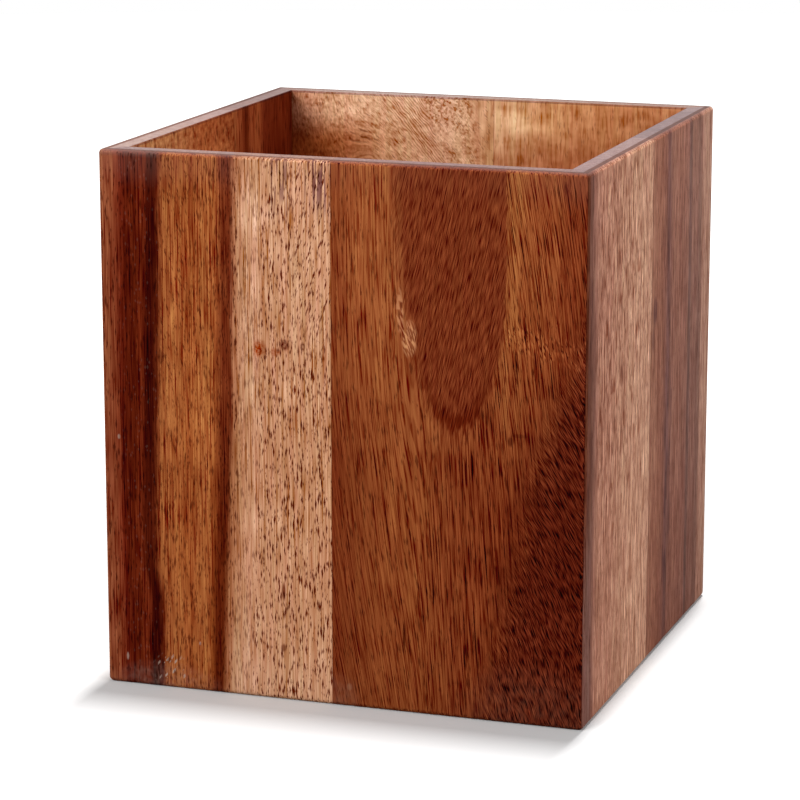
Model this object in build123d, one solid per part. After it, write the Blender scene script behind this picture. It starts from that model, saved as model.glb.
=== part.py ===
"""Open-topped square box of edge-glued hardwood, for standing umbrellas or general storage.

Four walls, each a panel of two upright boards glued edge to edge, meet in full-height mitres. The base is
a floating panel of two boards: a tongue round its edge sits in a groove that runs round the inside of the
walls, so it can swell and shrink without splitting the mitres. Every arris is eased by sanding.

Frame: +Z up, +X to the right, -Y towards the viewer. The origin is the centre of the box's foot on the
floor. All sizes are in millimetres.
"""

import os

from build123d import *

# Driving dimensions of the box
SIDE = 240.0  # outside width and depth, the plan is square
HEIGHT = 262.0
WALL = 12.0  # thickness of the planed boards
CORNER_EASE = 2.5  # rounding of the upright corners and of the foot, where the box is handled and dragged
RIM_EASE = 2.0  # rounding of the rim's outside arris
INNER_EASE = 1.0  # smaller rounding of the inside arrises, top and foot

# Widths of the first board of each wall, measured along the outside face
FRONT_LEFT_WIDTH = 116.5
BACK_LEFT_WIDTH = 125.0
LEFT_FRONT_WIDTH = 144.0
RIGHT_FRONT_WIDTH = 116.5

# The base panel and the groove that holds it
GROOVE_BOTTOM = 8.0  # height of the groove's lower cheek above the floor
GROOVE_HEIGHT = 6.0
GROOVE_DEPTH = 6.0
TONGUE_FIT = 0.2  # play above the tongue
SWELL_GAP = 1.0  # room left at the bottom of the groove for the panel to swell
BASE_THICKNESS = 10.0
FIELD_GAP = 0.5  # shadow line between the raised field and the walls
FIELD_EASE = 0.6
BASE_FRONT_WIDTH = 112.0  # depth of the front base board, over its tongue

INSIDE = SIDE - 2 * WALL
HALF = SIDE / 2


def inside_arrises(ring):
    """The level edges, at the foot and at the rim, that lie nearer to the opening than a wall's middle."""
    levels = ring.edges().group_by(Axis.Z)
    wall_middle = HALF - WALL / 2
    arrises = []
    for edge in levels[0] + levels[-1]:
        centre = edge.center()
        if max(abs(centre.X), abs(centre.Y)) < wall_middle:
            arrises.append(edge)
    return arrises


def wall_ring():
    """The four walls as one ring, eased outside and at both rims, with the groove run round the inside."""
    block = extrude(Rectangle(SIDE, SIDE), HEIGHT)
    rim = block.faces().sort_by(Axis.Z)[-1].edges()
    block = fillet(block.edges() - rim, CORNER_EASE)
    block = fillet(block.faces().sort_by(Axis.Z)[-1].edges(), RIM_EASE)
    ring = block - extrude(Rectangle(INSIDE, INSIDE), HEIGHT)
    ring = fillet(inside_arrises(ring), INNER_EASE)
    groove_side = INSIDE + 2 * GROOVE_DEPTH
    groove = Pos(0, 0, GROOVE_BOTTOM) * extrude(Rectangle(groove_side, groove_side), GROOVE_HEIGHT)
    return ring - groove


def mitre_wedge(quarter_turns):
    """The upright wedge between two corner diagonals that holds one wall, turned from the front wall's."""
    triangle = Polygon((0, 0), (-SIDE, -SIDE), (SIDE, -SIDE), align=None)
    return Rot(0, 0, 90 * quarter_turns) * extrude(triangle, HEIGHT)


def cut_across(panel, axis, seam):
    """The two boards of a panel, below and above a glue line at that place along the axis."""
    glue_line = Plane(origin=axis.direction * seam, z_dir=axis.direction)
    return split(panel, glue_line, keep=Keep.BOTTOM), split(panel, glue_line, keep=Keep.TOP)


def base_panel():
    """The base before it is cut into boards: a raised field with a tongue all round its lower half."""
    tongue_side = INSIDE + 2 * (GROOVE_DEPTH - SWELL_GAP)
    tongue = extrude(Rectangle(tongue_side, tongue_side), GROOVE_HEIGHT - TONGUE_FIT)
    field_side = INSIDE - 2 * FIELD_GAP
    field = extrude(Rectangle(field_side, field_side), BASE_THICKNESS)
    field = fillet(field.faces().sort_by(Axis.Z)[-1].edges(), FIELD_EASE)
    return Pos(0, 0, GROOVE_BOTTOM) * (tongue + field), tongue_side


def boards():
    """Every board by name."""
    ring = wall_ring()
    front, right, back, left = [ring & mitre_wedge(turn) for turn in range(4)]
    base, tongue_side = base_panel()
    made = {}
    made["front_left_board"], made["front_right_board"] = cut_across(front, Axis.X, FRONT_LEFT_WIDTH - HALF)
    made["back_left_board"], made["back_right_board"] = cut_across(back, Axis.X, BACK_LEFT_WIDTH - HALF)
    made["left_front_board"], made["left_back_board"] = cut_across(left, Axis.Y, LEFT_FRONT_WIDTH - HALF)
    made["right_front_board"], made["right_back_board"] = cut_across(right, Axis.Y, RIGHT_FRONT_WIDTH - HALF)
    seam = BASE_FRONT_WIDTH - tongue_side / 2
    made["base_front_board"], made["base_back_board"] = cut_across(base, Axis.Y, seam)
    return made


os.makedirs("parts", exist_ok=True)
for name, board in boards().items():
    solids = board.solids()
    print(name, "solids", len(solids), "volume", round(sum(s.volume for s in solids)))
    export_step(board, f"parts/{name}.step")
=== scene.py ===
# %% [markdown]
# # A cube stand in glued-up acacia
#
# The real object is a box without a lid. Each of its four walls is two boards glued edge to edge, the
# walls meet in mitres, and two more boards float in a groove as the base. The ten boards are already
# solids with their true sizes, so nothing is modelled again here. What is left is the work of a finisher:
# choose the figure of every board, oil it, and set it out in soft light on a pale table.
#
# All the wood is drawn by nodes. A scanned texture would be quicker, but it has to be wrapped round each
# corner and shows its seams there, while a pattern in space simply runs through the board as grain does.

# %% Load the boards
import math

import bpy
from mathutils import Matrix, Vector


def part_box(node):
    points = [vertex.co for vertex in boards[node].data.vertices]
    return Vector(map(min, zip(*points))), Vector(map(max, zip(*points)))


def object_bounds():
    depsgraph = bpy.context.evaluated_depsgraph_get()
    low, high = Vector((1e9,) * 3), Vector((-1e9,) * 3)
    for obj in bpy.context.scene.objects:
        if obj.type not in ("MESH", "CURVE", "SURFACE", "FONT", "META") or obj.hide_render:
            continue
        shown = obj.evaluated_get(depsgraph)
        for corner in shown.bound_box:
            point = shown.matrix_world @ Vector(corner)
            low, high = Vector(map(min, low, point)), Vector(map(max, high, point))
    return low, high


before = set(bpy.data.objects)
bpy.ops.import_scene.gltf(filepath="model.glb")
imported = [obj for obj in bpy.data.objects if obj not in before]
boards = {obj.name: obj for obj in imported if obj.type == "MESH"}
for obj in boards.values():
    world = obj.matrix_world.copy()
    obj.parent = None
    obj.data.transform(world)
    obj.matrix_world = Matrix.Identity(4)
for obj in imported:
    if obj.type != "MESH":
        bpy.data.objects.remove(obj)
cad_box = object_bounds()
LOW, HIGH = cad_box
WIDTH = HIGH.x - LOW.x
HEIGHT = HIGH.z - LOW.z
MM = 0.001
print(f"{len(boards)} boards, {WIDTH / MM:.0f} mm wide and {HEIGHT / MM:.0f} mm tall")

# %% [markdown]
# ## Camera
#
# A stand like this is shown from a little above and to its right, with a long lens, so that the front is
# nearly square to us and the rim shows as a frame. A camera object looks along its own -Z, and
# to_track_quat turns it to the point that it should look at.

# %% Place the camera
AZIMUTH = math.radians(18.74)
ELEVATION = math.radians(12.87)
DISTANCE = 1.635
LENS = 146.6
SENSOR = 36.0
AIM = Vector((-0.0087, -0.0047, 0.1240))

camera = bpy.data.objects.new("camera", bpy.data.cameras.new("camera"))
camera.data.lens = LENS
camera.data.sensor_width = SENSOR
toward_camera = Vector((
    math.sin(AZIMUTH) * math.cos(ELEVATION),
    -math.cos(AZIMUTH) * math.cos(ELEVATION),
    math.sin(ELEVATION),
))
camera.location = AIM + toward_camera * DISTANCE
camera.rotation_euler = toward_camera.to_track_quat("Z", "Y").to_euler()
bpy.context.scene.collection.objects.link(camera)
bpy.context.scene.camera = camera
bpy.context.scene.view_settings.view_transform = "Standard"
print("camera at", [round(v, 3) for v in camera.location])

# %% [markdown]
# ## A small language for materials
#
# A wood material is a long chain of Math nodes, and wiring them one by one hides what they mean. A Signal
# wraps a wire, so that sums and products of wires can be written as sums and products. The same nodes could
# be wired by hand in the editor, but a board needs some hundreds of them.

# %% Signals: wires that can be added and multiplied
class Signal:
    """A value on its way through a material."""

    def __init__(self, recipe, socket):
        self.recipe = recipe
        self.socket = socket

    def __add__(self, other):
        return self.recipe.math("ADD", self, other)

    def __sub__(self, other):
        return self.recipe.math("SUBTRACT", self, other)

    def __rsub__(self, other):
        return self.recipe.math("SUBTRACT", other, self)

    def __mul__(self, other):
        return self.recipe.math("MULTIPLY", self, other)

    __radd__ = __add__
    __rmul__ = __mul__


print("a signal knows +, - and *")

# %% [markdown]
# A Recipe owns one material. It adds nodes and feeds them with signals or with plain numbers, and it can
# tell how far it has come.

# %% Recipes: one material each
class Recipe:
    """A material that is being mixed."""

    def __init__(self, name):
        self.material = bpy.data.materials.new(name)
        self.material.use_nodes = True
        self.tree = self.material.node_tree
        self.shader = self.tree.nodes["Principled BSDF"]

    def feed(self, socket, value):
        """Links a signal to the socket, or sets the socket to a plain value."""
        if isinstance(value, Signal):
            self.tree.links.new(value.socket, socket)
        elif value is not None:
            socket.default_value = value

    def node(self, kind, *feeds, **options):
        """Adds a node with these options and feeds its inputs in order."""
        made = self.tree.nodes.new(kind)
        for option, value in options.items():
            setattr(made, option, value)
        for socket, value in zip(made.inputs, feeds):
            self.feed(socket, value)
        return made

    def math(self, operation, first, second=None, clamp=False):
        """One Math node."""
        made = self.node("ShaderNodeMath", first, second, operation=operation, use_clamp=clamp)
        return Signal(self, made.outputs[0])

    def tell(self, what):
        """Prints how far the recipe has come."""
        print(f"{self.material.name}: {what}, {len(self.tree.nodes)} nodes so far")


print("a recipe can", [name for name in vars(Recipe) if not name.startswith("_")])

# %% [markdown]
# Wood is full of soft borders. A step is one of them, and two steps make a band. A curve is drawn
# through given points: it says how a border wanders as it climbs a board. Noise alone could make a border
# wander too, but then nobody could say where.

# %% Steps, bands and hand-drawn curves
class Shaping(Recipe):
    """A recipe that can draw soft borders."""

    def join(self, x, y, z):
        """Three numbers as one point."""
        return Signal(self, self.node("ShaderNodeCombineXYZ", x, y, z).outputs[0])

    def step(self, value, start, end):
        """0 before start and 1 after end, with a soft rise between them."""
        made = self.node("ShaderNodeMapRange", value, start, end, interpolation_type="SMOOTHSTEP")
        return Signal(self, made.outputs[0])

    def between(self, value, start, end, soft):
        """1 from start to end, fading to 0 over the soft distance outside them."""
        return self.step(value, start - soft, start) * self.step(value, end + soft, end)

    def lerp(self, share, first, second):
        """The first number where share is 0 and the second where it is 1."""
        return share * (second - first) + first

    def curve(self, value, points):
        """A smooth curve through given points (position, height)."""
        places, heights = zip(*points)
        first, span = places[0], places[-1] - places[0]
        floor, rise = min(heights), max(heights) - min(heights)
        made = self.node("ShaderNodeFloatCurve", 1.0, (value - first) * (1.0 / span))
        line = made.mapping.curves[0]
        while len(line.points) < len(points):
            line.points.new(0.5, 0.5)
        for knot, (place, height) in zip(line.points, points):
            knot.location = ((place - first) / span, (height - floor) / rise)
        made.mapping.update()
        return Signal(self, made.outputs[0]) * rise + floor


print("shaping adds", [name for name in vars(Shaping) if not name.startswith("_")])

# %% [markdown]
# The figure itself is noise, and noise in long thin cells looks like fibres. Colours are laid out along a
# ramp, blended, or stained: a stain multiplies the wood's colour, as a dye in it does, and never covers it.

# %% Noise, ramps and stains
MIX_COLOURS = (6, 7)
MIX_RESULT = 2


class Painting(Shaping):
    """A recipe that can draw figure and colour."""

    def noise(self, point, detail):
        """A cloudy number about 0, mostly from -0.5 to 0.5."""
        made = self.node("ShaderNodeTexNoise", point)
        made.inputs["Scale"].default_value = 1.0
        made.inputs["Detail"].default_value = detail
        return (Signal(self, made.outputs["Fac"]) - 0.5) * 2.0

    def cells(self, point):
        """The distance to the middle of the nearest cell, and two random numbers of that cell."""
        made = self.node("ShaderNodeTexVoronoi", point, distance="MANHATTAN")
        made.inputs["Scale"].default_value = 1.0
        lots = self.node("ShaderNodeSeparateColor", Signal(self, made.outputs["Color"])).outputs
        return Signal(self, made.outputs["Distance"]), Signal(self, lots["Red"]), Signal(self, lots["Green"])

    def ramp(self, value, stops):
        """Colours laid out along a value, from given stops (position, colour). All stops are placed
        before any is coloured, because placing one can change their order."""
        first, span = stops[0][0], stops[-1][0] - stops[0][0]
        made = self.node("ShaderNodeValToRGB", (value - first) * (1.0 / span))
        elements = made.color_ramp.elements
        while len(elements) < len(stops):
            elements.new(1.0)
        for element, (place, _) in zip(elements, stops):
            element.position = (place - first) / span
        for element, (_, colour) in zip(elements, stops):
            element.color = (*colour, 1.0)
        return Signal(self, made.outputs["Color"])

    def blend(self, share, first, second, how="MIX"):
        """Mixes two colours."""
        made = self.node("ShaderNodeMix", share, data_type="RGBA", blend_type=how, clamp_factor=False)
        for place, colour in zip(MIX_COLOURS, (first, second)):
            self.feed(made.inputs[place], colour if isinstance(colour, Signal) else (*colour, 1.0))
        return Signal(self, made.outputs[MIX_RESULT])

    def stain(self, colour, amount, tint):
        """Multiplies the colour by the tint, as a dye does. A negative amount bleaches it."""
        return self.blend(amount, colour, tint, how="MULTIPLY")


print("painting adds", [name for name in vars(Painting) if not name.startswith("_")])

# %% [markdown]
# ## Where a point lies in its board
#
# Wood is a solid, so its figure is a pattern in space and not a picture on a face: the same streak runs
# down the outside, shows on the inside, and crosses the rim as end grain. Every board therefore gets
# three measures in millimetres: across its width from its first edge, into it from its outside face, and
# up along its grain. They come from Object coordinates, because each board lies at the stand's origin.
# UV coordinates would do for one face, but they know nothing of the inside of the wood.

# %% Board coordinates
WALLS = {
    "front": ("x", "y", False),
    "right": ("y", "x", True),
    "back": ("x", "y", True),
    "left": ("y", "x", False),
}
ACROSS_MITRE = 0.7
EDGE_ROOM = 2 * MM


class MeasuredBoard(Painting):
    """The recipe of one wall board, with its own measures."""

    def __init__(self, name):
        super().__init__("oiled_" + name)
        self.wall = name.split("_")[0]
        self.piece = boards[name + "_board"]
        self.low, self.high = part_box(self.piece.name)
        place = self.node("ShaderNodeTexCoord").outputs["Object"]
        parts = self.node("ShaderNodeSeparateXYZ", Signal(self, place)).outputs
        self.here = {axis: Signal(self, socket) for axis, socket in zip("xyz", parts)}
        self.measure()

    def measure(self):
        """Sets the three measures, the board's width, and how far a point is from a joint. A board that
        starts away from the stand's edge is glued at its first side, and the others at their last."""
        along, through, outside_is_high = WALLS[self.wall]
        first, last = getattr(self.low, along), getattr(self.high, along)
        self.across = (self.here[along] - first) * (1 / MM)
        self.width = (last - first) / MM
        if outside_is_high:
            self.depth = (getattr(self.high, through) - self.here[through]) * (1 / MM)
        else:
            self.depth = (self.here[through] - getattr(self.low, through)) * (1 / MM)
        self.up = self.here["z"] * (1 / MM)
        glued_first = first > getattr(LOW, along) + EDGE_ROOM
        from_seam = self.across if glued_first else self.width - self.across
        mitre = self.size(self.here["x"]) - self.size(self.here["y"])
        self.from_joint = self.math("MINIMUM", from_seam, self.size(mitre) * (ACROSS_MITRE / MM))

    def size(self, value):
        """The value without its sign."""
        return self.math("ABSOLUTE", value)

    def spot(self, across, up, half_width, half_height):
        """1 in the middle of an oval mark and 0 at its edge."""
        aside = (self.across - across) * (1 / half_width)
        above = (self.up - up) * (1 / half_height)
        return self.step(aside * aside + above * above, 1.0, 0.1)


print("the walls run", WALLS)

# %% [markdown]
# ## Grain
#
# All grain starts from one trick: a pattern is looked up in coordinates that are squeezed across the
# board and stretched along it. The same stretch makes streaks, crisp lines and pores. A lean or a bend
# moves it sideways as it climbs, so that every layer can follow the fibres of its own board.

# %% Streaks, lines and pores
PORE_SIZE = 0.40
PORE_SPREAD = 0.22
SOFT_CHOICE = 0.05


class Board(MeasuredBoard):
    """A measured board that can draw its grain."""

    def stretched(self, width, length, lean=0.0, seed=0.0):
        """Looks a pattern up in cells of this width and length. The lean is how far the grain steps
        sideways for each step up, or a signal with the whole sideways bend in millimetres."""
        bend = lean if isinstance(lean, Signal) else self.up * lean
        across = self.across + bend
        return self.join(across * (1 / width), self.depth * (1 / width), self.up * (1 / length) + seed)

    def fibres(self, width, length, lean=0.0, seed=0.0, detail=1.0):
        """Streaks along the grain, about 0."""
        return self.noise(self.stretched(width, length, lean, seed), detail)

    def lines(self, width, length, lean=0.0, seed=0.0, start=0.08, end=0.26):
        """Thin crisp lines along the grain: only the crests of a streaky noise."""
        return self.step(self.fibres(width, length, lean, seed, detail=0.0), start, end)

    def pores(self, width, length, share, lean=0.0, seed=0.0, sharp=9.0):
        """Open vessels cut along their length: short dark dashes, 1 inside them and 0 on clear wood. Each
        cell may hold one, and the share says how many of the cells do."""
        distance, lot, draw = self.cells(self.stretched(width, length, lean, seed))
        dash = self.math("MULTIPLY", lot * PORE_SPREAD + PORE_SIZE - distance, sharp, clamp=True)
        return dash * self.step(draw, share, share - SOFT_CHOICE)

    def close_grain(self, colour, tint, lean=0.0, seed=0.0, amount=1.0):
        """The fine grain that any board shows from near: soft hairs and a few crisp lines."""
        hairs = self.fibres(0.55, 24, lean, seed, detail=0.0) * 1.3
        crisp = self.lines(0.75, 12, lean, seed + 5.0) * 0.55
        return self.stain(colour, (hairs + crisp - 0.12) * amount, tint)


print("a board can draw", [name for name in vars(Board) if not name.startswith("_")])

# %% [markdown]
# ## Colours of acacia
#
# Acacia changes from nearly black heartwood through red and honey brown to pink-tan sapwood, often inside
# one board. Darker wood is not just dimmer, it loses green and blue faster than red, so pores and streaks
# are stains that multiply, and they keep the wood warm. Wear covers the wood instead, and so does the
# painted highlight on the arris, so their colours are blended over it. A few stains hold painted shade or
# sheen. All of them are linear, as a shader reads them.

# %% The palette
HONEY = (0.315, 0.086, 0.022)
CHESTNUT = (0.195, 0.044, 0.012)
DARK_CHESTNUT = (0.130, 0.026, 0.007)
GOLD = (0.400, 0.140, 0.050)

PORE = (0.20, 0.05, 0.02)
STREAK = (0.50, 0.15, 0.02)
PALE_STREAK = (0.60, 0.38, 0.16)
STRAW_STREAK = (0.62, 0.43, 0.24)
MUTED_STREAK = (0.52, 0.33, 0.25)
MAUVE = (0.42, 0.33, 0.44)
RUST = (0.60, 0.33, 0.21)
KNOT = (0.30, 0.14, 0.10)
BLUSH = (1.02, 0.80, 0.92)
GLUE = (0.45, 0.30, 0.25)
# Darkens a thin line along the rim's outside.
RIM_LINE_TINT = (0.50, 0.34, 0.28)
# Greys the rim's end grain, partly as oil does and partly as a painted sheen.
GREYED_AND_SHEEN = (0.42, 0.48, 0.62)
SHADED = (0.36, 0.33, 0.42)

CHALK = (0.42, 0.30, 0.24)
# Pale grey of the outside arris, partly wear and partly a painted highlight.
WORN_SHEEN = (0.165, 0.090, 0.078)
DRY_OIL = (0.30, 0.13, 0.075)
print("honey brown is", HONEY)

# %% [markdown]
# ## The finish that all boards share
#
# After the figure comes what happens to every board alike. The rim's outside arris is paled, partly by
# wear and partly with a painted highlight, and its inside arris is darkened with painted shade. The end
# grain of the rim is greyer, partly because it has drunk more oil and partly from a painted grey sheen,
# and a darker line runs along its outside. Where two boards meet there is a thin glue line. A second
# material for the rim would need its faces picked out, and the boards' slots are given, so masks on
# height and depth do it inside the one material.

# %% Edges and rim
TOP = HEIGHT / MM
WALL = 12.0
ARRIS_BAND = 1.8
ARRIS_SHARE = 0.62
RIM_LINE_START = 1.8
RIM_LINE_END = 3.8
END_GRAIN_SHARE = 0.65


def tint_edges(board, colour):
    """Pales the rim's outside arris, partly as wear and partly as a painted highlight, and darkens its
    inside one with painted shade.
    """
    high = board.step(board.up, TOP - ARRIS_BAND, TOP)
    # The outside arris is paled, partly as wear and partly as a painted highlight; the inside one gets
    # painted shade.
    arris = high * high * board.step(board.depth, 2.4, 0.9)
    inner = board.step(board.up, TOP - 1.3, TOP - 0.6) * board.step(board.depth, WALL - 1.2, WALL - 0.8)
    return board.blend(arris * ARRIS_SHARE, board.stain(colour, inner, SHADED), WORN_SHEEN)


def oil_and_sheen_rim(board, colour, rim, rim_colour):
    """Greys the end grain on top of the board, partly as oil does and partly with a painted grey sheen."""
    # A darker line along the rim's outside edge.
    rim_line = rim * board.between(board.depth, RIM_LINE_START, RIM_LINE_END, 0.8)
    # Painted sheen: the end grain is blended toward a grey rim colour, partly its own grey, partly painted
    # reflection.
    end_grain = board.blend(END_GRAIN_SHARE, board.stain(colour, 1.0, GREYED_AND_SHEEN), rim_colour)
    rays = board.noise(board.join(board.across * 0.8, board.depth * 0.45, 0.5), 2.0)
    end_grain = board.stain(board.stain(end_grain, rays * 0.8, MUTED_STREAK), rim_line, RIM_LINE_TINT)
    return board.blend(rim, colour, end_grain)


print(f"the rim is {TOP:.0f} mm above the floor")

# %% [markdown]
# The oil film shines only a little. Its strength is the same everywhere, so it is set right on the
# shader's own socket. A very small bump lets the open pores catch the light. Stains on stains could take
# a colour down to nothing, which no wood does, so the result is kept above a blackest brown.

# %% Oil and bump
BLACKEST = (0.001, 0.001, 0.001)
OIL_SHINE = 0.004
SIDE_ROUGHNESS = 0.40
RIM_ROUGHNESS = 0.30
GLUE_LINE = 0.45
RIM_SKIN = 0.12
PORE_DEPTH = 0.06 * MM
PORE_STRENGTH = 0.6


def finish(board, colour, pores, rim_colour):
    """Adds pores, joints, edges and rim to a board's colour, and sends it to the shader."""
    blush = board.fibres(2.2, 45, seed=97) * 0.7
    colour = board.stain(colour, blush, BLUSH)
    colour = board.stain(colour, pores, PORE)
    colour = board.stain(colour, board.step(board.from_joint, GLUE_LINE, 0.1) * 0.5, GLUE)
    colour = tint_edges(board, colour)
    rim = board.step(board.up, TOP - RIM_SKIN, TOP - 0.03)
    colour = oil_and_sheen_rim(board, colour, rim, rim_colour)
    darkest = board.node("ShaderNodeVectorMath", colour, BLACKEST, operation="MAXIMUM")
    board.feed(board.shader.inputs["Base Color"], Signal(board, darkest.outputs[0]))
    roughness = board.lerp(rim, pores * 0.15 + SIDE_ROUGHNESS, RIM_ROUGHNESS)
    board.feed(board.shader.inputs["Roughness"], roughness)
    board.shader.inputs["Specular IOR Level"].default_value = OIL_SHINE
    bump = board.node("ShaderNodeBump")
    bump.inputs["Distance"].default_value = PORE_DEPTH
    bump.inputs["Strength"].default_value = PORE_STRENGTH
    board.feed(bump.inputs["Height"], 1.0 - pores)
    board.feed(board.shader.inputs["Normal"], Signal(board, bump.outputs[0]))
    board.piece.material_slots[0].material = board.material
    print(f"{board.piece.name}: {len(board.tree.nodes)} nodes")


print(f"pores are pressed in by {PORE_DEPTH / MM:.2f} mm")

# %% [markdown]
# ## Front wall, left board
#
# This board was sawn from the edge of the log, so it shows the whole tree in 116 mm: dark striped
# heartwood, a honey band, a last red line, then sapwood. Growth rings made by noise would look like wood,
# but not like this board, so a colour ramp across the grain holds its bands one by one. Two drawn
# curves bend them, because a real band never runs quite parallel to the saw cut.

# %% Front left: the bands
board = Board("front_left")
across, up = board.across, board.up
dark_edge = board.curve(up, [(0, -1.5), (42, -1.0), (65, -4.1), (113, -3.2), (189, -1.5), (262, 0)])
sap_edge = board.curve(up, [(0, -7.2), (60, -5.0), (115, -2.4), (191, -1.0), (262, 0)])
wander = board.lerp(board.step(across, 33, 62), dark_edge * board.step(across, 0, 22), sap_edge)
wobble = board.noise(board.join(across * 0.12, board.depth * 0.12, up * 0.03), 2.0) * 0.8
ragged = board.fibres(0.8, 6, seed=2) * 0.9
ring = across - wander + board.depth * 0.35 + wobble + ragged
ground = board.ramp(ring, [
    (0.0, (0.235, 0.060, 0.024)), (5.0, (0.205, 0.045, 0.017)), (8.5, (0.165, 0.026, 0.009)),
    (10.5, (0.108, 0.010, 0.003)), (13.5, (0.086, 0.008, 0.002)), (18.5, (0.090, 0.009, 0.002)),
    (21.0, (0.130, 0.016, 0.004)), (23.4, (0.100, 0.011, 0.003)), (24.8, (0.050, 0.004, 0.001)),
    (27.6, (0.050, 0.004, 0.001)), (29.2, (0.088, 0.011, 0.003)), (30.8, (0.190, 0.040, 0.011)),
    (32.4, (0.300, 0.083, 0.023)), (40.0, (0.355, 0.103, 0.028)), (46.0, (0.310, 0.078, 0.019)),
    (54.0, (0.350, 0.103, 0.028)), (59.0, (0.320, 0.085, 0.022)), (61.0, (0.230, 0.050, 0.014)),
    (62.6, (0.155, 0.025, 0.007)), (66.3, (0.150, 0.025, 0.007)), (68.4, (0.380, 0.140, 0.064)),
    (70.2, (0.480, 0.215, 0.110)), (74.0, (0.595, 0.308, 0.176)), (79.0, (0.635, 0.330, 0.198)),
    (85.0, (0.605, 0.306, 0.174)), (116.0, (0.622, 0.318, 0.180)),
])
heart = board.step(ring, 32, 29)
sap = board.step(ring, 67, 70)
board.tell(f"bands over {board.width:.1f} mm")

# %% [markdown]
# A band is not even along its length. The heart fades toward the rim, the red line deepens toward the
# foot, and the sapwood is riper halfway up and drinks more oil at the very top. Each of these is a soft
# mask times a stain, so that the bands' own colours stay as they were mixed.

# %% Front left: light and dark along the bands
top = board.step(up, 205, 255)
warm = board.spot(44, 148, 20, 34) * 0.22
low = board.between(up, 15, 80, 25) * board.between(across, 7, 22, 5) * 0.35
ground = board.stain(ground, heart * (top * -0.6 - low) - warm, STREAK)
red_line = board.between(ring, 60, 67, 2) * board.step(up, 190, 60)
ripe_sap = sap * board.between(up, 50, 120, 40)
ripe = ripe_sap * board.lerp(board.step(ring, 70, 80), 0.45, 0.22)
ground = board.stain(ground, red_line * 0.7 + ripe, PALE_STREAK)
ground = board.stain(ground, sap * board.between(up, 112, 200, 26) * 0.13, STRAW_STREAK)
oiled_top = board.step(up, TOP - 17, TOP - 5) * 0.40
oiled_top = oiled_top - board.between(up, TOP - 32, TOP - 20, 5) * 0.20
ground = board.stain(ground, sap * board.step(across, 92, 76) * oiled_top, STRAW_STREAK)
board.tell("faded, ripened and oiled")

# %% [markdown]
# Fibres give a board its direction. Hairs under a millimetre wide carry most of it, a few crisp lines
# and black stripes run far up the heart, and broad soft mottle keeps any stretch from looking ruled. One
# noise with much detail would give all sizes at once, but each size has its own length and place here.

# %% Front left: streaks
hair = board.fibres(0.60, 16, seed=3, detail=0.0)
lines = board.lines(0.85, 60, seed=5)
black = board.lines(1.3, 90, seed=21, start=0.05, end=0.25) * heart
band = board.fibres(1.9, 130, seed=8)
mottle = board.fibres(5.0, 16, seed=13)
honey = board.between(ring, 36, 60, 4)
patch = honey * board.noise(board.join(across * 0.14, 0.0, up * 0.035), 2.0)
stripy = heart * board.step(ring, 7, 11)
streaks = hair * 1.4 + lines * 0.55 + black * 0.5 * stripy + mottle * 0.6
streaks = streaks + band * board.lerp(stripy, 0.7, 1.0)
calm = board.step(up, 100, 50)
ground = board.stain(ground, patch * board.lerp(calm, 0.8, 0.4), MUTED_STREAK)
streaks = streaks * (1.0 - calm * board.step(ring, 32, 40) * 0.25)
ground = board.stain(ground, streaks, board.blend(sap, STREAK, STRAW_STREAK))
board.tell("streaked")

# %% [markdown]
# Each board has a few marks that are its own. Here they are mauve mineral lines under the rim, three
# rusty spots with two dark eyes two thirds of the way up, and short checks. They are ovals placed one by
# one, and noise breaks up the larger ones.

# %% Front left: mineral lines, rust and knots
sooty = board.between(across, 86, 94, 1.5) * board.lines(1.2, 20, seed=41, start=-0.05, end=0.2)
inky = board.between(across, 104, 115, 1.5) * board.lines(1.1, 26, seed=42, start=-0.05, end=0.2)
damp = board.step(up, 226, 250)
ground = board.stain(ground, (sooty * 0.9 + inky * 1.1) * damp, MAUVE)
rust = board.spot(80.3, 171.5, 4.2, 5.2) * 1.1 + board.spot(79, 166, 3.0, 14) * 0.3
rust = rust + board.spot(88, 170.3, 3.2, 2.6) + board.spot(92, 173.5, 5.0, 4.2) * 0.5
smudge = board.fibres(1.4, 1.8, seed=51, detail=2.0) * 1.2 + 0.8
ground = board.stain(ground, rust * smudge, RUST)
eyes = board.spot(101.7, 173.7, 1.6, 2.8) * smudge + board.spot(92.6, 173.9, 3.2, 3.0) * smudge
checks = board.spot(91.3, 54, 1.2, 6.0) + board.spot(91, 26, 1.8, 2.6) * 0.8
checks = checks + board.spot(30, 164, 2.0, 4.0) * 0.6
ground = board.stain(ground, eyes + checks, KNOT)
board.tell("marked")

# %% [markdown]
# Open pores are the signature of this timber. Sapwood is full of them and heartwood nearly hides them.
# They lean one way in the upper sapwood and the other way at the upper left of the honey band. Cut as
# geometry they would be thousands of grooves, so they are dark dashes with a small bump.

# %% Front left: pores
share = board.fibres(12, 30, seed=33) * 0.35
upper_sap = sap * board.between(across, 100, 116, 5) * board.step(up, 160, 200)
straight = board.pores(1.05, 6.4, board.lerp(sap, 0.92, 1.0) - heart * 0.45 + share, seed=11)
leaning = board.pores(1.02, 5.6, 0.95, lean=-0.22, seed=23)
slanting = board.pores(0.95, 4.2, 0.72, lean=0.24, seed=29)
upper_left = board.between(ring, 33, 43, 5) * board.step(up, 120, 160)
small = board.pores(0.78, 3.4, board.lerp(sap, 0.50, 0.62) - heart * 0.4, seed=37)
smooth = board.between(ring, 72, 80, 3)
pores = board.lerp(upper_left, board.lerp(upper_sap, straight, leaning), slanting)
pores = board.math("MAXIMUM", pores, small * 0.75)
pores = pores * (1.0 - smooth * 0.45) * board.lerp(sap, 0.74, 1.03)
board.tell("pored")

# %% [markdown]
# Last comes use: lint in the dark wood, three small dents, white chips where the foot was set down, and a
# thin veil of dry oil under the rim. Wear is on top of the wood, so it is blended over it and not stained.

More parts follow.
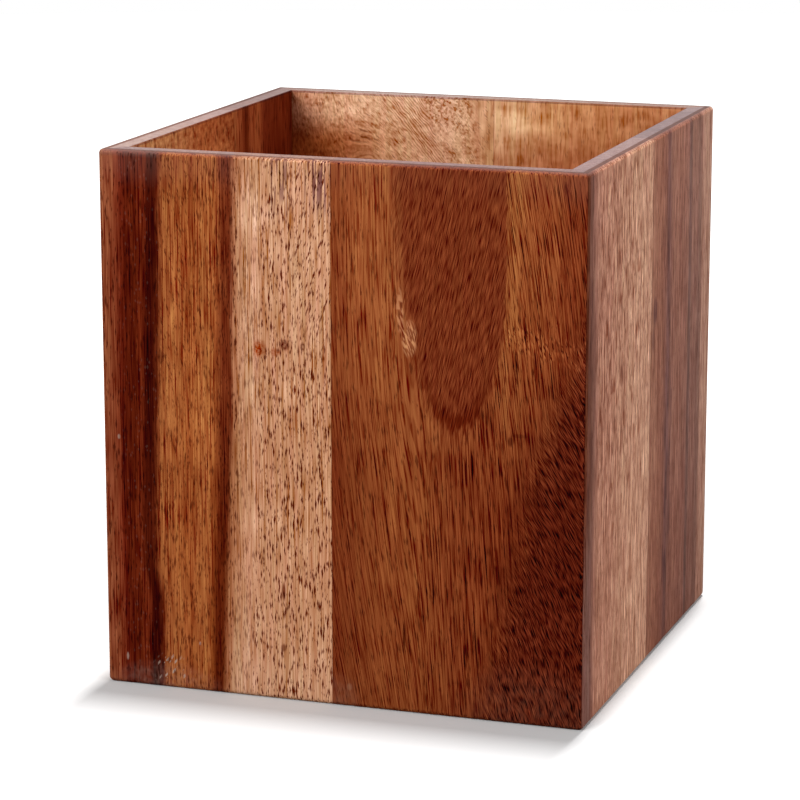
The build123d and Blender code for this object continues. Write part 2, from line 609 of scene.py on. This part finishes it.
# %% Front left: wear and finish
lint = board.pores(1.0, 2.2, 0.12, seed=91) * heart * board.step(across, 6, 14)
dents = board.spot(7.5, 123.5, 0.9, 1.5) + board.spot(10, 14, 0.8, 2.4) + board.spot(48, 24, 0.7, 1.2)
chips = board.pores(1.5, 3.2, 0.7, lean=-0.5, seed=95) * board.spot(33, 9, 11, 10)
scuffed = board.spot(30, 0, 34, 15) * (board.fibres(3.0, 3.0, seed=93) + 0.6) * 0.14
# The heart just under the arris is paled, partly as wear and partly as a painted highlight.
pale_arris_line = board.step(up, TOP - 3.5, TOP - 1.0) * heart
ground = board.blend(pale_arris_line * 0.35, ground, WORN_SHEEN)
veil = board.step(up, TOP - 20, TOP - 5) * (1.0 - sap) * 0.05
marks = lint * 0.05 + dents * 0.5 + chips * 0.8 + scuffed + veil
ground = board.blend(marks, ground, CHALK)
# The rim's colours are the end grain's own grey with a painted grey sheen in them.
rim = board.blend(sap, (0.305, 0.205, 0.190), (0.285, 0.165, 0.138))
finish(board, ground, pores * 0.98, rim)

# %% [markdown]
# ## Front wall, right board
#
# A flat-sawn board. Its ground is brown and warm above, darker and redder below, so two ramps across it
# are mixed by height. One ramp and a stain would darken it, but could not move its lights sideways.

# %% Front right: the ground
board = Board("front_right")
across, up = board.across, board.up
upper = board.ramp(across, [
    (0, (0.240, 0.053, 0.015)), (6, (0.252, 0.059, 0.017)), (12, (0.310, 0.082, 0.024)),
    (28, (0.310, 0.086, 0.025)), (38, (0.300, 0.084, 0.026)), (80, (0.280, 0.070, 0.020)),
    (84, (0.315, 0.090, 0.025)), (90, (0.300, 0.084, 0.023)), (95, (0.290, 0.074, 0.021)),
    (109, (0.260, 0.060, 0.017)), (114, (0.210, 0.040, 0.011)), (123, (0.200, 0.036, 0.010)),
])
lower = board.ramp(across, [
    (0, (0.175, 0.030, 0.008)), (10, (0.195, 0.041, 0.011)), (26, (0.240, 0.056, 0.015)),
    (44, (0.230, 0.053, 0.014)), (60, (0.200, 0.040, 0.011)), (80, (0.185, 0.034, 0.009)),
    (123, (0.150, 0.022, 0.006)),
])
ground = board.blend(board.step(up, 205, 95), upper, lower)
board.tell("warm above and dark below")

# %% [markdown]
# The saw cut the growth cones lengthwise, so a dark cone of heartwood shows as a rounded arch. A cone is
# easy to write down: the distance of a point from the pith, compared with one radius. One curve says how
# far aside the pith lies, and another how deep, because it comes up to the face as it climbs.

# %% Front right: the arch
CONE_RADIUS = 29.5
CONE = (0.166, 0.029, 0.0085)
pith = board.curve(up, [(0, 61.5), (141, 60.9), (168, 61.1), (182, 61.0), (212, 59.4), (262, 57.6)])
aside = across - pith
slant = board.curve(up, [
    (0, 62.5), (141, 28.7), (168, 22.5), (182, 19.7), (197, 16.5), (215, 13.9), (235, 12.2), (262, 10.7),
])
inward = slant + board.depth
ragged = board.fibres(1.2, 9, lean=-0.1, seed=19) * 2.4
radius = board.math("SQRT", aside * aside + inward * inward) + ragged
left_side = board.step(aside, 6, -10)
soft_edge = left_side * board.step(up, 120, 175) * 3.5
arch = board.step(radius, soft_edge + (CONE_RADIUS + 0.9), (CONE_RADIUS - 0.9) - soft_edge)
ground = board.blend(arch, ground, CONE)
tip = arch * board.step(up, 165, 128)
outline = board.between(radius, CONE_RADIUS - 1.9, CONE_RADIUS - 0.7, 1.0) * board.step(up, 185, 135)
ground = board.stain(ground, outline * 0.75 + tip * 0.12, STREAK)
board.tell("arched")

# %% [markdown]
# At the lower right lies the edge of a second, darker cone. Its shore climbs to the right, and slow
# noise keeps it from being a drawn line. A glow above it and shade in and beside it finish the large forms.

# %% Front right: the dark shore
INNER_HEART = (0.079, 0.0083, 0.0028)
shore = board.curve(up, [(0, 70.0), (79, 86.0), (126, 96.0), (157, 107.0), (197, 121.0), (262, 138.0)])
drift = board.noise(board.join(across * 0.08, board.depth * 0.06, up * 0.05), 2.0) * 10.0
dark = board.step(across - shore + drift, -8.0, 15.0)
ground = board.blend(dark * 0.90, ground, INNER_HEART)
glow = board.spot(123, 172, 22, 42) * board.step(up, 135, 165) * 0.14
dense = board.spot(100, 180, 22, 28)
shade = board.spot(100, 82, 36, 36) * 0.25 + board.spot(4, 118, 12, 30) * 0.15 + dense * 0.22
ground = board.stain(ground, shade - glow, STREAK)
edge = board.step(across - shore, -3, 13)
board.tell("shaded")

# %% [markdown]
# The fibres of this board bend, and every layer of grain has to bend with them. So the bend is drawn once
# and handed to each layer. One signal is for the plain wood: it leans to the left and fans out at the
# right. A second one is steeper and rippled, for the wood beyond the shore.

# %% Front right: how the fibres bend
plain = board.curve(up, [(0, 0.0), (110, 17.0), (170, 22.5), (262, 25.0)])
plain = plain * board.curve(across, [(0, 1.0), (30, 0.85), (60, 0.35), (85, 0.45), (123, 0.8)])
fanned = board.curve(up, [(0, -5), (100, -5), (170, 0), (262, 14)])
plain = plain + fanned * board.step(across, 58, 90)
inside = arch * (1.0 - edge)
wave = board.fibres(9, 14, lean=0.4, seed=71) * 1.8
rippled = board.curve(up, [(0, 12.0), (60, 33.6), (160, 89.6), (262, 146.7)]) + wave
board.tell("bends drawn")

# %% [markdown]
# Now the same kinds of streak as on the first board, but mixed by place: fine and short inside the arch,
# longer and a little bolder toward the right, and woven beyond the shore.

# %% Front right: streaks
long_hair = board.fibres(0.50, 26, plain, seed=3, detail=0.0)
arch_hair = board.fibres(0.44, 8, lean=-0.21, seed=4, detail=0.0)
arch_hair = arch_hair + board.fibres(0.56, 5.5, lean=-0.24, seed=14, detail=0.0) * 0.8
edge_hair = board.fibres(0.52, 4.8, rippled, seed=45, detail=0.0)
thread = board.lerp(edge, board.fibres(0.9, 40, plain, seed=9), board.fibres(0.9, 8, rippled, seed=9))
coarse = board.lines(0.85, 13, plain, seed=27) * 0.7
weave = board.lines(0.85, 7.0, rippled, seed=26) * 1.1
fine = board.lerp(edge, board.lines(0.58, 22, plain, seed=25) + coarse, weave)
bold = board.curve(across, [(0, 0.64), (30, 0.72), (62, 0.98), (90, 1.02), (123, 1.04)])
hair = board.lerp(inside, long_hair * (bold * 1.4 + 0.1), arch_hair * 1.8)
hair = board.lerp(edge, hair, edge_hair * 3.9)
crisp = board.lerp(inside, bold, 0.20)
mottle = board.fibres(6.0, 50, plain, seed=15) * board.lerp(inside, 0.5, 0.2) * (1.0 - edge * 0.5)
streaks = hair + thread * board.lerp(inside, 0.9, 0.3) + (fine - 0.26) * crisp + mottle
ground = board.stain(ground, streaks, STREAK)
board.tell("streaked")

# %% [markdown]
# Polished fibres flash where they rise to the surface. These lights are painted glints, stains with a
# negative amount: a sprinkle at the right edge, and a belt of short golden dashes across the grain, 80 mm
# below the rim. Real glints would move with the eye; these stay put, and they are mostly bright wood
# with a painted highlight on top.

# %% Front right: painted golden glints
lit = board.spot(128, 152, 16, 58) * 0.9 + edge * board.step(across, 126, 90) * 0.6
# Painted glints where polished fibres would flash.
glint_lines = board.lines(0.95, 5.5, rippled, seed=28, start=0.06, end=0.26)
ground = board.stain(ground, glint_lines * lit * -1.0, STREAK)
belt = board.between(up + across * 0.25, 203, 211, 4) * board.step(across, 82, 88)
# Painted golden glints in the belt.
golden_glints = board.lines(1.1, 5.0, up * 0.3, seed=29, start=0.0, end=0.2)
ground = board.stain(ground, belt * golden_glints * -0.95, STREAK)
board.tell("lit")

# %% [markdown]
# Four layers of pores lean as the fibres do, each in its own part of the board. They are mixed with the
# same masks as the streaks, so that pores and hairs always agree.

# %% Front right: pores
plain_pores = board.pores(0.85, 8, 0.90, plain, seed=2)
plain_pores = plain_pores * (board.lerp(board.step(across, 70, 88), 0.78, 0.88) + dense * 0.25)
belt_pores = board.pores(0.95, 4.4, 1.0, up * 0.3, seed=38) * 1.2
arch_pores = board.pores(0.62, 7.0, 0.80, lean=-0.21, seed=31) * 0.25
edge_pores = board.pores(0.85, 6.0, 0.80, rippled, seed=43)
pores = board.lerp(inside, board.lerp(belt, plain_pores, belt_pores), arch_pores)
pores = board.lerp(edge, pores, edge_pores)
board.tell("pored")

# %% [markdown]
# Its own marks: a pale flame of torn grain at the left of the arch, small knots beside and below the arch,
# and dry oil at the foot and under the rim. The flame's share is limited, so that the wood still shows.

# %% Front right: flame, knots, wear and finish
TORN = (0.62, 0.27, 0.12)
flame = board.spot(38.4, 181, 4.4, 10) + board.spot(34.0, 194, 2.6, 13) * 0.6
pale = flame * board.lines(0.9, 3.6, lean=0.35, seed=61, start=-0.1, end=0.2)
flame_share = board.math("MINIMUM", pale * 0.9 + flame * 0.12, 0.85)
ground = board.blend(flame_share, ground, TORN)
knots = board.spot(87.5, 136, 1.7, 3.2) * 0.8 + board.spot(36, 38, 1.0, 9.0) * 0.9
knots = knots + board.spot(92, 139, 6.0, 1.2) * 0.4
ground = board.stain(ground, knots, KNOT)
worn = board.spot(3, 2, 13, 16) * 0.30 + board.spot(98, 0, 46, 34) * 0.12
worn = worn * (board.fibres(4.0, 5.0, seed=93) + 0.7) + board.spot(8.5, 10, 1.7, 2.2) * 0.35
dry = board.curve(across, [(0, 0.10), (30, 0.06), (60, 0.03), (100, 0.12), (123, 0.24)])
top_veil = board.step(up, TOP - 20, TOP - 4) * dry
ground = board.blend(worn + top_veil, ground, DRY_OIL)
finish(board, ground, pores * 0.82, (0.270, 0.178, 0.168))

# %% [markdown]
# ## Right wall, front board
#
# Sapwood, pale and flecked, with a soft dark band where it turns the corner. The band wavers with
# height, so a curve pushes it in and out. Flecks thin out away from the middle of the board.

# %% Right wall, front board
TURNED_EDGE = (0.210, 0.095, 0.075)
board = Board("right_front")
across, up = board.across, board.up
wavy = board.curve(up, [
    (0, 7.0), (26, 6.0), (52, 3.5), (92, 5.5), (131, 7.5), (170, 6.0), (215, 1.5), (262, 0),
])
ragged = board.fibres(3.0, 22, seed=2) * 3.0
ring = across + board.depth * 0.3 - wavy * board.step(across, 24, 8) + ragged
ground = board.ramp(ring, [
    (0, (0.130, 0.034, 0.016)), (2, (0.142, 0.046, 0.027)), (5, (0.160, 0.056, 0.036)),
    (8, (0.230, 0.086, 0.056)), (13, (0.330, 0.135, 0.088)), (22, (0.420, 0.180, 0.112)),
    (40, (0.455, 0.200, 0.125)), (60, (0.475, 0.222, 0.136)), (82, (0.550, 0.275, 0.172)),
    (113, (0.540, 0.272, 0.172)), (117, (0.560, 0.295, 0.190)),
])
turned = board.step(up, 112, 60) * board.step(ring, 12, 1)
ground = board.blend(turned * 0.6, ground, TURNED_EDGE)
board.tell("pale with a dark turn")

# %% [markdown]
# Sapwood has no bold figure, so mottle and flecks make it: broad soft ones first, then crisp dark flecks
# and bright ones. Dark over dark would turn black where many meet, so their sum has a limit.

# %% Right wall, front board: flecks, pores and finish
SAP_SPOT = (0.45, 0.28, 0.22)
DARKEST_FLECK = 1.15
sap = board.step(ring, 10, 22)
rough = board.spot(45, 190, 85, 130) * 0.60 + 0.45
coarse = board.fibres(2.4, 40, seed=4) * 1.2 + board.fibres(7, 16, seed=14, detail=2.0) * rough * 1.2
flecks = board.lines(2.2, 10, seed=17, start=0.05, end=0.3) * sap * rough
bright = board.step(up, 150, 262) * 0.14 + board.spot(24, 250, 20, 34) * 0.35
mottle = board.math("MINIMUM", coarse + flecks * 0.8 - bright - 0.04, DARKEST_FLECK)
ground = board.stain(ground, mottle, MUTED_STREAK)
lights = board.lines(2.2, 16, seed=27, start=0.10, end=0.30) * sap
ground = board.stain(ground, lights * -0.45, MUTED_STREAK)
spots = board.spot(60.5, 157, 4.0, 6.5) * 0.8 + board.spot(37.5, 179.5, 3.0, 4.5) * 0.7
ground = board.stain(ground, spots, SAP_SPOT)
ground = board.close_grain(ground, MUTED_STREAK, seed=81)
wide = board.pores(1.6, 6, 0.55, seed=51, sharp=5.0) * 0.7
pores = board.math("MAXIMUM", wide, board.pores(0.95, 5, 0.8, seed=52))
finish(board, ground, pores * board.lerp(sap, 0.35, 0.40 + rough * 0.25), (0.250, 0.172, 0.168))

# %% [markdown]
# ## Right wall, back board
#
# Mauve-brown heartwood with two dark lines, which ends in a pale strip at the back edge. A smear of
# resin follows the first line, and two knots sit on the glue line.

# %% Right wall, back board
board = Board("right_back")
up = board.up
sway = board.curve(up, [(0, 4.0), (90, 4.0), (160, 3.0), (262, 0.0)])
ragged = board.fibres(3.5, 45, seed=3) * 1.6
ring = board.across + board.depth * 0.25 - sway + ragged
ground = board.ramp(ring, [
    (0, (0.330, 0.134, 0.080)), (8, (0.310, 0.118, 0.070)), (18, (0.270, 0.096, 0.056)),
    (26, (0.235, 0.084, 0.054)), (29.5, (0.175, 0.066, 0.052)), (32.5, (0.175, 0.066, 0.052)),
    (37, (0.260, 0.102, 0.067)), (48, (0.285, 0.110, 0.070)), (60, (0.260, 0.098, 0.063)),
    (71, (0.255, 0.100, 0.067)), (73.2, (0.155, 0.066, 0.050)), (75.8, (0.155, 0.066, 0.050)),
    (78.5, (0.245, 0.102, 0.070)), (88, (0.245, 0.100, 0.068)), (95, (0.200, 0.084, 0.058)),
    (98, (0.250, 0.110, 0.075)), (101.5, (0.420, 0.205, 0.140)), (112, (0.440, 0.225, 0.150)),
    (119, (0.420, 0.215, 0.150)),
])
foot = board.step(up, 110, 10)
ground = board.stain(ground, foot * 0.25 + foot * board.step(ring, 110, 90) * 0.1, MUTED_STREAK)
board.tell("striped")

# %% [markdown]
# Its streaks are long and low in contrast, and its colour is lighter toward the rim. Light from the right
# falls almost evenly on this wall.

# %% Right wall, back board: streaks, knots and finish
coarse = board.fibres(2.6, 60, seed=6) * 1.1 + board.fibres(7, 22, seed=16, detail=2.0) * 0.8
bright = board.step(up, 150, 262) * 0.25 + board.spot(48, 235, 18, 45) * 0.2
bright = bright + board.spot(80, 240, 26, 80) * 0.4
coarse = coarse + board.lines(2.4, 26, seed=19, start=0.1, end=0.35) * 0.4
ground = board.stain(ground, coarse * board.lerp(foot, 1.0, 0.6) - bright, MUTED_STREAK)
smear = board.between(ring, 27, 38, 4) * board.lines(4.0, 26, seed=44, start=-0.1, end=0.3)
smear = smear * board.between(up, 45, 130, 20)
knot = board.spot(7.5, 176, 5.0, 9.0) * 0.8 + board.spot(4.7, 162, 3.0, 8.0) * 0.6 + smear * 0.6
ground = board.stain(ground, knot, MAUVE)
ground = board.close_grain(ground, MUTED_STREAK, seed=83)
wide = board.pores(1.8, 9, 0.50, seed=57, sharp=5.0) * 0.7
pores = board.math("MAXIMUM", wide, board.pores(0.9, 6, 0.7, seed=58))
finish(board, ground, pores * 0.45, (0.222, 0.165, 0.165))

# %% [markdown]
# ## Curly figure
#
# Near the rim the back wall and the left wall are curly on their inside only, where the saw ran through
# a crotch of the tree. Lower down and on the outside the same boards are plain. One mask says where the
# curl is, and all three curly boards use it. Each could have a mask of its own, but then the curl would
# not stop at one height all round.

# %% Where the curl is
CURL_FULL = TOP - 35
CURL_GONE = TOP - 75


def inner_side(board):
    """1 in the inner part of the board's thickness, and 0 in the outer part."""
    return board.step(board.depth, 4, 8)


def curl_of(board):
    """1 inside the box near the rim, and 0 on the outside and further down."""
    return inner_side(board) * board.step(board.up, CURL_GONE, CURL_FULL)


print(f"the curl fades from {CURL_FULL:.0f} to {CURL_GONE:.0f} mm above the floor")

# %% [markdown]
# ## Back wall, left board
#
# Seen from inside, this is the brightest timber of the stand. It darkens away from the rim and most of
# all in the corner. The lamps make part of that shade by themselves, and the rest is painted shade here.

# %% Back wall, left board
CORNER_SHADE = (0.80, 0.46, 0.22)
board = Board("back_left")
across, up = board.across, board.up
ground = board.ramp(across - board.depth * 0.3, [
    (0, (0.36, 0.120, 0.060)), (14, (0.52, 0.215, 0.115)), (22, (0.70, 0.350, 0.200)),
    (36, (0.79, 0.430, 0.250)), (60, (0.83, 0.485, 0.290)), (76, (0.82, 0.485, 0.295)),
    (88, (0.77, 0.435, 0.270)), (100, (0.78, 0.450, 0.275)), (114, (0.73, 0.400, 0.210)),
    (124, (0.75, 0.405, 0.205)),
])
# Painted shade: the board darkens away from the rim, and most of all in the inside corner.
shade_below_rim = board.step(up, TOP - 4, TOP - 26)
ground = board.stain(ground, shade_below_rim * board.lerp(board.step(across, 70, 92), 0.42, 0.30), PALE_STREAK)
corner = board.step(up, TOP - 10, TOP - 28) * board.step(across, 80, 25) * inner_side(board)
ground = board.stain(ground, corner, CORNER_SHADE)
board.tell("bright under the rim")

# %% [markdown]
# The curl is a bend that grows with the distance from the rim, stirred by slow noise. On it lie three
# figures from left to right: loose strokes, combed waves and a whirl of crumbs. Combed waves are a sine,
# since noise never repeats evenly enough. Beside the glue line the grain is straight again.

# %% Back wall, left board: curly figure
eddy = board.noise(board.join(across * 0.22, board.depth * 0.1, up * 0.22), 0.0) * 0.9
drop = up - TOP
slope = board.curve(across, [(0, 0.05), (40, 0.25), (64, 0.80), (124, 0.80)])
curly = drop * slope + eddy
combed = board.between(across + drop * 0.8, 62, 84, 5)
whirl = board.between(across + drop * 0.4, 86, 108, 4)
comb = board.math("SINE", (across + curly) * 3.8 + board.fibres(3, 9, curly, seed=6) * 4.0)
curls = board.noise(board.join(across * 0.80, board.depth * 0.3, up * 0.75), 0.0)
crumbs = board.noise(board.join(across * 0.85, board.depth * 0.3, up * 0.50), 1.0)
strokes = board.lines(1.0, 3.0, curly, seed=7, start=-0.08, end=0.22) * 0.6 + crumbs * 0.8
figure = board.lerp(combed, strokes, board.step(comb, -0.6, 0.9) * 0.85)
figure = board.lerp(whirl, figure, board.step(curls, 0.0, 0.22) * board.lerp(shade_below_rim, 1.0, 0.55))
# Pale lines on the curl are painted glints.
glints = board.lines(1.0, 3, curly, seed=9, start=0.05, end=0.3)
clouds = board.fibres(8, 7, curly, seed=4) * 0.9 + board.fibres(2.2, 2.2, curly, seed=5) * 0.95
curl = curl_of(board)
figure = figure * 0.95 - glints * 0.35 + clouds - 0.05
straight = board.fibres(1.8, 26, seed=5) * 0.8 + board.fibres(9, 7, seed=15, detail=2.0) * 1.1
straight = straight + board.lines(1.1, 9, seed=2) * 0.45
figure = board.lerp(board.step(across + drop * 0.15, 108, 117), figure, straight)
board.tell("curled")

# %% [markdown]
# Outside the curl the board is quiet: faint clouds and long straight streaks.

# %% Back wall, left board: quiet grain, pores and finish
CURLY_STREAK = (0.60, 0.40, 0.25)
quiet = clouds * 0.35 + board.fibres(3.0, 60, lean=0.1, seed=8) * 0.8 + 0.35
ground = board.stain(ground, board.lerp(curl, quiet, figure), CURLY_STREAK)
ground = board.close_grain(ground, PALE_STREAK, lean=0.1, seed=85, amount=board.lerp(curl, 1.0, 0.15))
curled_pores = board.pores(1.2, 3.2, 0.60, curly, seed=61, sharp=6.0) * 0.4
pores = board.lerp(curl, board.pores(0.95, 6, 0.85, lean=0.1, seed=62) * 0.7, curled_pores)
finish(board, ground, pores, (0.25, 0.175, 0.158))

# %% [markdown]
# ## Back wall, right board
#
# Smooth and golden, redder to the right, redder and darker away from the rim as painted shade, and with
# a light flame beside the glue line.

# %% Back wall, right board
board = Board("back_right")
across, up = board.across, board.up
ground = board.ramp(across, [
    (0, (0.73, 0.385, 0.200)), (10, (0.75, 0.405, 0.205)), (24, (0.69, 0.325, 0.148)),
    (34, (0.66, 0.290, 0.124)), (60, (0.61, 0.245, 0.097)), (114, (0.60, 0.240, 0.100)),
])
flame = board.between(up, TOP - 14, TOP - 8, 5) * board.step(across, 46, 20)
# The flame pales the wood; painted shade darkens it away from the rim.
ground = board.stain(ground, flame * -0.3 + board.step(up, TOP - 14, TOP - 36) * 0.5, STREAK)
curl = curl_of(board)
mottle = board.fibres(9, 7, seed=15, detail=2.0) * board.lerp(curl, 0.3, 1.1)
coarse = board.fibres(1.8, 26, seed=5) * 0.8 + mottle
ground = board.stain(ground, coarse + board.lines(1.1, 9, seed=2) * 0.45, PALE_STREAK)
ground = board.close_grain(ground, PALE_STREAK, seed=87, amount=board.lerp(curl, 1.0, 0.15))
pores = board.pores(1.1, 6, 0.80, seed=67, sharp=7.0)
finish(board, ground, pores * board.lerp(curl, 0.7, 0.4), (0.25, 0.170, 0.152))

# %% [markdown]
# ## Left wall, front board
#
# A wide golden board that reddens toward the glue line. Inside, near the rim, it is rough and mottled:
# short fibres with much detail do that, where long ones would look planed.

# %% Left wall, front board
board = Board("left_front")
across, up = board.across, board.up
ground = board.ramp(across, [
    (0, (0.590, 0.245, 0.098)), (40, (0.640, 0.260, 0.100)), (68, (0.600, 0.222, 0.080)),
    (100, (0.490, 0.128, 0.037)), (141, (0.385, 0.095, 0.028)), (144, (0.385, 0.095, 0.028)),
])
paler = board.between(up, TOP - 26, TOP - 16, 5) * board.step(across, 78, 96)
ground = board.stain(ground, paler * -0.45, STREAK)
curl = curl_of(board)
rough = board.fibres(4, 2.6, seed=15, detail=2.0) * 1.3 + board.lines(3.0, 5, lean=0.15, seed=7) * 0.35
coarse = board.fibres(6.0, 26, lean=0.15, seed=4) * 0.9
ground = board.stain(ground, board.lerp(curl, coarse * 0.5 + 0.12, coarse + rough), STREAK)
ground = board.close_grain(ground, STREAK, lean=0.05, seed=89, amount=1.0 - curl)
rough_pores = board.pores(2.2, 7, 0.66, lean=0.15, seed=71, sharp=6.0) * 0.6
pores = board.lerp(curl, board.pores(0.95, 6, 0.90, lean=0.05, seed=72) * 0.8, rough_pores)
finish(board, ground, pores, (0.352, 0.262, 0.246))

# %% [markdown]
# ## Left wall, back board
#
# A striped board: orange beside the glue line, one narrow dark stripe, chestnut, then dark red all the
# way to the corner. Straight stripes need no curve, so the ramp alone draws them.

# %% Left wall, back board
board = Board("left_back")
ground = board.ramp(board.across, [
    (0, (0.375, 0.096, 0.030)), (5, (0.355, 0.082, 0.024)), (11, (0.300, 0.058, 0.017)),
    (14, (0.220, 0.034, 0.009)), (15.5, (0.170, 0.023, 0.005)), (19.5, (0.170, 0.023, 0.005)),
    (22, (0.280, 0.052, 0.015)), (26, (0.340, 0.072, 0.021)), (36, (0.330, 0.070, 0.020)),
    (39, (0.250, 0.042, 0.012)), (42, (0.155, 0.019, 0.005)), (60, (0.145, 0.017, 0.004)),
    (96, (0.138, 0.016, 0.004)),
])
coarse = board.fibres(6.0, 110, seed=5) * 0.7 + board.fibres(9, 26, seed=15) * 0.6
ground = board.stain(ground, coarse + board.lines(3.0, 40, seed=2) * 0.2, STREAK)
ground = board.close_grain(ground, STREAK, seed=91)
inner = inner_side(board)
rough_pores = board.pores(2.2, 9, 0.55, seed=73, sharp=6.0) * 0.5
pores = board.lerp(inner, board.pores(0.95, 7, 0.80, seed=74) * 0.7, rough_pores)
finish(board, ground, pores, (0.262, 0.185, 0.172))

# %% [markdown]
# ## Base
#
# Two quieter boards float in the walls' groove. Their grain runs from side to side, so their
# coordinates are turned: up the grain is along X here.

# %% Base boards
class BaseBoard(Board):
    """The recipe of a base board, whose grain runs along X."""

    def measure(self):
        """Sets the measures: depth from the top face, and up the grain from left to right."""
        self.across = (self.here["y"] - self.low.y) * (1 / MM)
        self.width = (self.high.y - self.low.y) / MM
        self.depth = (self.high.z - self.here["z"]) * (1 / MM)
        self.up = self.here["x"] * (1 / MM)
        glued_first = self.low.y > LOW.y / 2
        self.from_joint = self.across if glued_first else self.width - self.across


def finish_base(name, seed, dark, middle, light):
    """Streaks a base board with three colours and oils it."""
    board = BaseBoard(name)
    ground = board.ramp(board.fibres(9, 160, seed=seed), [(-0.6, dark), (0, middle), (0.6, light)])
    ground = board.close_grain(ground, STREAK, seed=seed)
    finish(board, ground, board.pores(0.95, 7, 0.85, seed=seed) * 0.7, light)


finish_base("base_front", 81, CHESTNUT, HONEY, GOLD)
finish_base("base_back", 87, DARK_CHESTNUT, CHESTNUT, HONEY)

# %% [markdown]
# ## Floor
#
# A pale floor that keeps the stand's shadow. Its paint is grey, and it glows for the camera alone, so
# that the lit floor comes out white, the shadow stays grey, and no extra light reaches the timber. Light
# Path tells the shader which rays those are. White paint and stronger lamps would make it white as well,
# but they would bleach the wood.

# %% Which rays someone sees
def glow_for_eye(tree):
    """1 for rays that someone sees: straight, in a reflection or through glass."""
    path = tree.nodes.new("ShaderNodeLightPath")
    total = path.outputs["Is Camera Ray"]
    for name in ("Is Glossy Ray", "Is Transmission Ray"):
        both = tree.nodes.new("ShaderNodeMath")
        both.operation = "MAXIMUM"
        tree.links.new(total, both.inputs[0])
        tree.links.new(path.outputs[name], both.inputs[1])
        total = both.outputs[0]
    return total


print("a ray is seen straight, in a reflection or through glass")

# %% [markdown]
# The paint is darker for rays that only carry light, so that little of it bounces back on the timber. The
# glow is weak close to the stand, where the shadow lies, and grows further out until the floor is white.

# %% Lay the floor
FLOOR_RADIUS = 3.0
SHADOW_RADIUS = 0.24
OPEN_RADIUS = 0.55
DIM_PAINT = (0.25, 0.25, 0.25)
SEEN_PAINT = (0.64, 0.64, 0.64)
SHADOW_GLOW = 0.03
OPEN_GLOW = 0.4


def pale_floor():
    """The floor's paint."""
    recipe = Painting("pale_floor")
    seen = Signal(recipe, glow_for_eye(recipe.tree))
    place = Signal(recipe, recipe.node("ShaderNodeTexCoord").outputs["Object"])
    length = recipe.node("ShaderNodeVectorMath", place, operation="LENGTH")
    away = Signal(recipe, length.outputs["Value"])
    sweep = recipe.step(away, SHADOW_RADIUS, OPEN_RADIUS)
    paint = recipe.blend(seen, DIM_PAINT, SEEN_PAINT)
    recipe.feed(recipe.shader.inputs["Base Color"], paint)
    recipe.shader.inputs["Roughness"].default_value = 1.0
    recipe.shader.inputs["Specular IOR Level"].default_value = 0.0
    recipe.shader.inputs["Emission Color"].default_value = (1, 1, 1, 1)
    glow = seen * recipe.lerp(sweep, SHADOW_GLOW, OPEN_GLOW)
    recipe.feed(recipe.shader.inputs["Emission Strength"], glow)
    return recipe.material


bpy.ops.mesh.primitive_circle_add(vertices=96, radius=FLOOR_RADIUS, fill_type="NGON", location=(0, 0, 0))
floor = bpy.context.object
floor.name = "floor"
floor.data.materials.append(pale_floor())
print("floor radius", FLOOR_RADIUS, "m")

# %% [markdown]
# ## Light
#
# A product table has three soft boxes. A narrow one hangs far overhead and draws the thin shadow in front
# of the stand. One at the front left lights the front wall, and one at the right lights the right wall. A
# sun lamp would be simpler than the overhead box, but its shadow has one hard edge all round.

# %% Hang the lamps
TABLE_CENTRE = Vector((0, 0, 0.12))


def soft_box(name, direction, distance, size, watts):
    """A rectangular area lamp that looks at the stand from a direction."""
    lamp = bpy.data.objects.new(name, bpy.data.lights.new(name, "AREA"))
    lamp.data.shape = "RECTANGLE"
    lamp.data.size, lamp.data.size_y = size
    lamp.data.energy = watts
    way = Vector(direction).normalized()
    lamp.location = TABLE_CENTRE + way * distance
    lamp.rotation_euler = way.to_track_quat("Z", "Y").to_euler()
    bpy.context.scene.collection.objects.link(lamp)
    return lamp


overhead = soft_box("overhead", (0.005, 0.125, 1.0), 10.0, (0.45, 1.60), 1230)
key = soft_box("key", (-0.42, -0.80, 0.44), 2.4, (1.2, 1.2), 42)
side = soft_box("side", (1.0, -0.25, 0.34), 2.4, (1.2, 1.2), 27)
for lamp in (overhead, key, side):
    print(f"{lamp.name}: {lamp.data.energy:.0f} W from {[round(v, 2) for v in lamp.location]}")

# %% [markdown]
# The room is a dim even white, and fills the shadows. It is pure white only where someone sees it, so a
# white background costs no extra light on the wood.

# %% Light the room
ROOM_LIGHT = 0.24
SEEN_WHITE = 1.0

world = bpy.data.worlds.new("studio")
bpy.context.scene.world = world
world.use_nodes = True
room = world.node_tree.nodes["Background"]
room.inputs["Color"].default_value = (1, 1, 1, 1)
level = world.node_tree.nodes.new("ShaderNodeMapRange")
level.inputs["To Min"].default_value = ROOM_LIGHT
level.inputs["To Max"].default_value = SEEN_WHITE
world.node_tree.links.new(glow_for_eye(world.node_tree), level.inputs["Value"])
world.node_tree.links.new(level.outputs[0], room.inputs["Strength"])
print("the room shines at", ROOM_LIGHT)

# %% [markdown]
